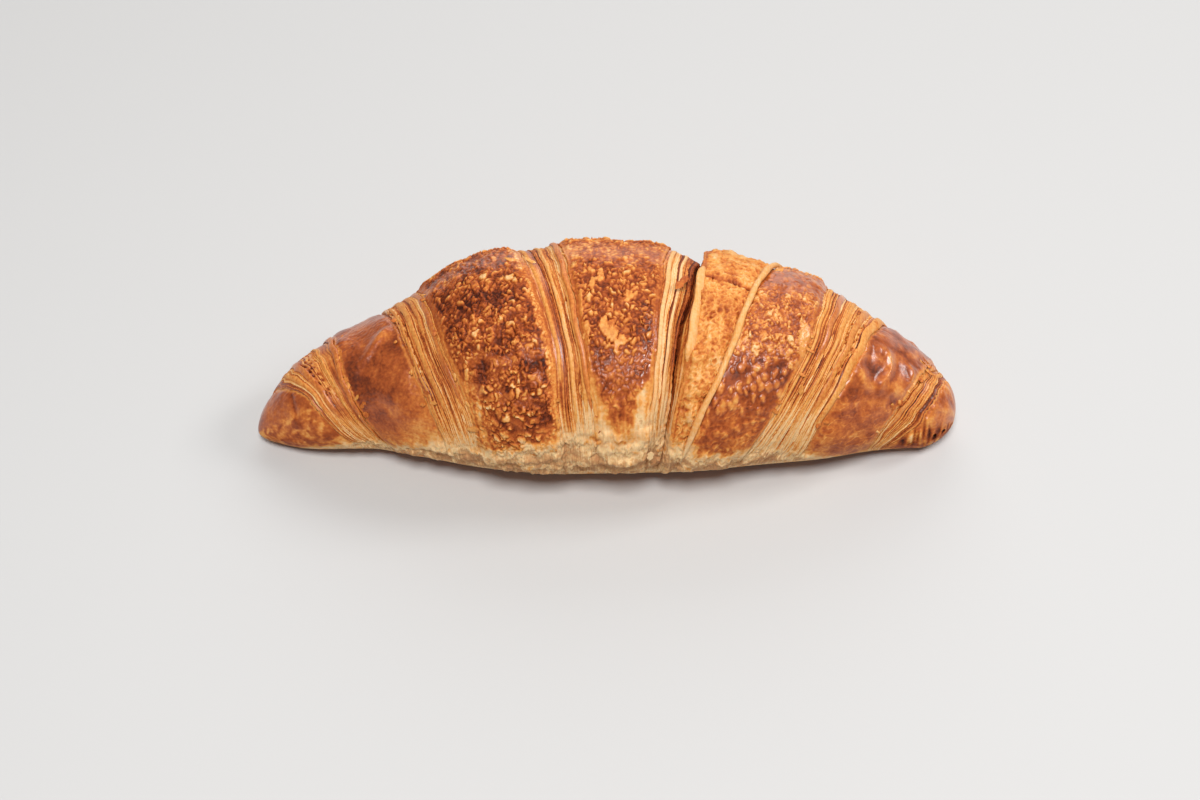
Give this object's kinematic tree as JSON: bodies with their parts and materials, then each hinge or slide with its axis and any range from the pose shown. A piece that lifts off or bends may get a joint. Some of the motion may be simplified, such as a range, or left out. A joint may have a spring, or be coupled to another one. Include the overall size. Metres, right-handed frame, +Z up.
{
  "type": "croissant",
  "caption": "Whole baked croissant: a rolled half-moon of laminated dough with swollen, browned crust bands, leafy stepped edges between them, blunt horns and a flat base.",
  "frame": {"origin": "middle of the plan outline, on the surface that the flat base rests on", "axes": "+X from the left horn to the right one, +Y away from the side the horns bend to, +Z up"},
  "size_m": [0.1668, 0.0584, 0.046],
  "materials": {
    "crust": "egg-washed pastry crust, glossy red-brown on the swells, golden and matt on the leafy edges, cream underneath"
  },
  "bodies": {
    "root": {"croissant": "crust"}
  },
  "joints": []
}
